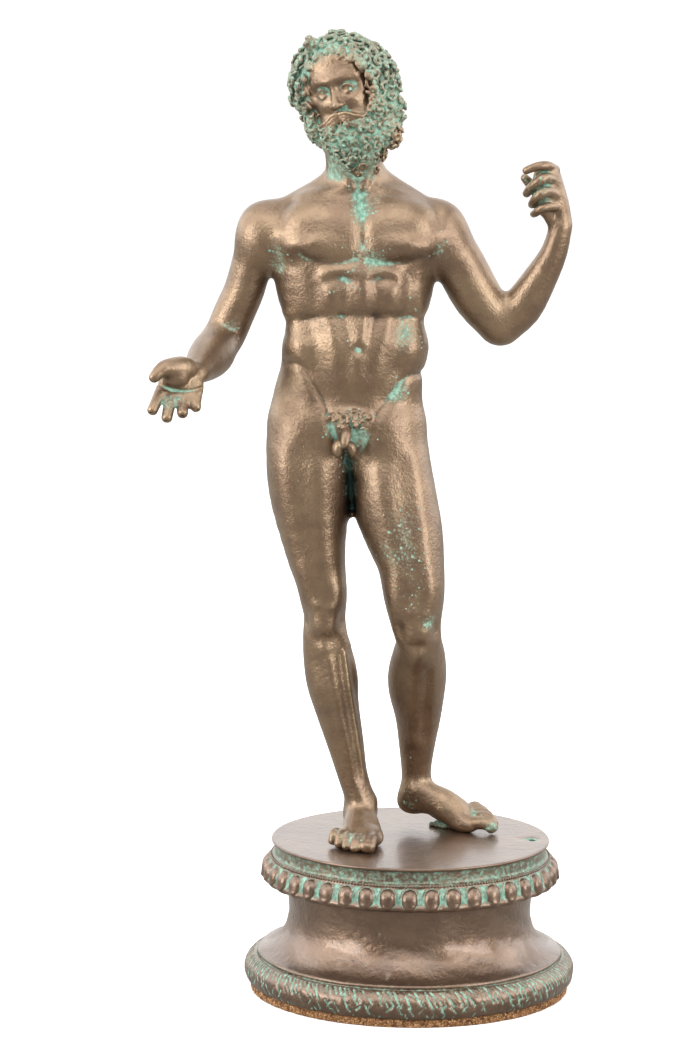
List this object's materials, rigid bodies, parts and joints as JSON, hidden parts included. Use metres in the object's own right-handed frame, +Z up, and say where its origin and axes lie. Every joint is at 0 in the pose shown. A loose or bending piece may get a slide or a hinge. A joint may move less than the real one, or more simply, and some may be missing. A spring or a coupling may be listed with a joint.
{
  "type": "classical god statuette on round plinth",
  "caption": "Standing nude bearded god with one arm held out and one fist raised, cast in one piece on a round moulded plinth with an egg-shaped ornament ring and a cork pad.",
  "frame": {"origin": "middle of the cork pad's underside, on the plinth's axis", "axes": "+Z up, the figure faces -Y, its own right side and open hand are towards -X"},
  "size_m": [0.1059, 0.083, 0.2392],
  "materials": {
    "figure_paint": "cast plaster under satin bronze paint, rubbed on the high places, blue-green verdigris wash in the hollows",
    "plinth_paint": "cast plaster under satin dark bronze paint, verdigris wash between the eggs and leaves",
    "cork": "fine bare composition cork"
  },
  "bodies": {
    "root": {"figure": "figure_paint", "plinth": "plinth_paint", "cork_pad": "cork"}
  },
  "joints": []
}
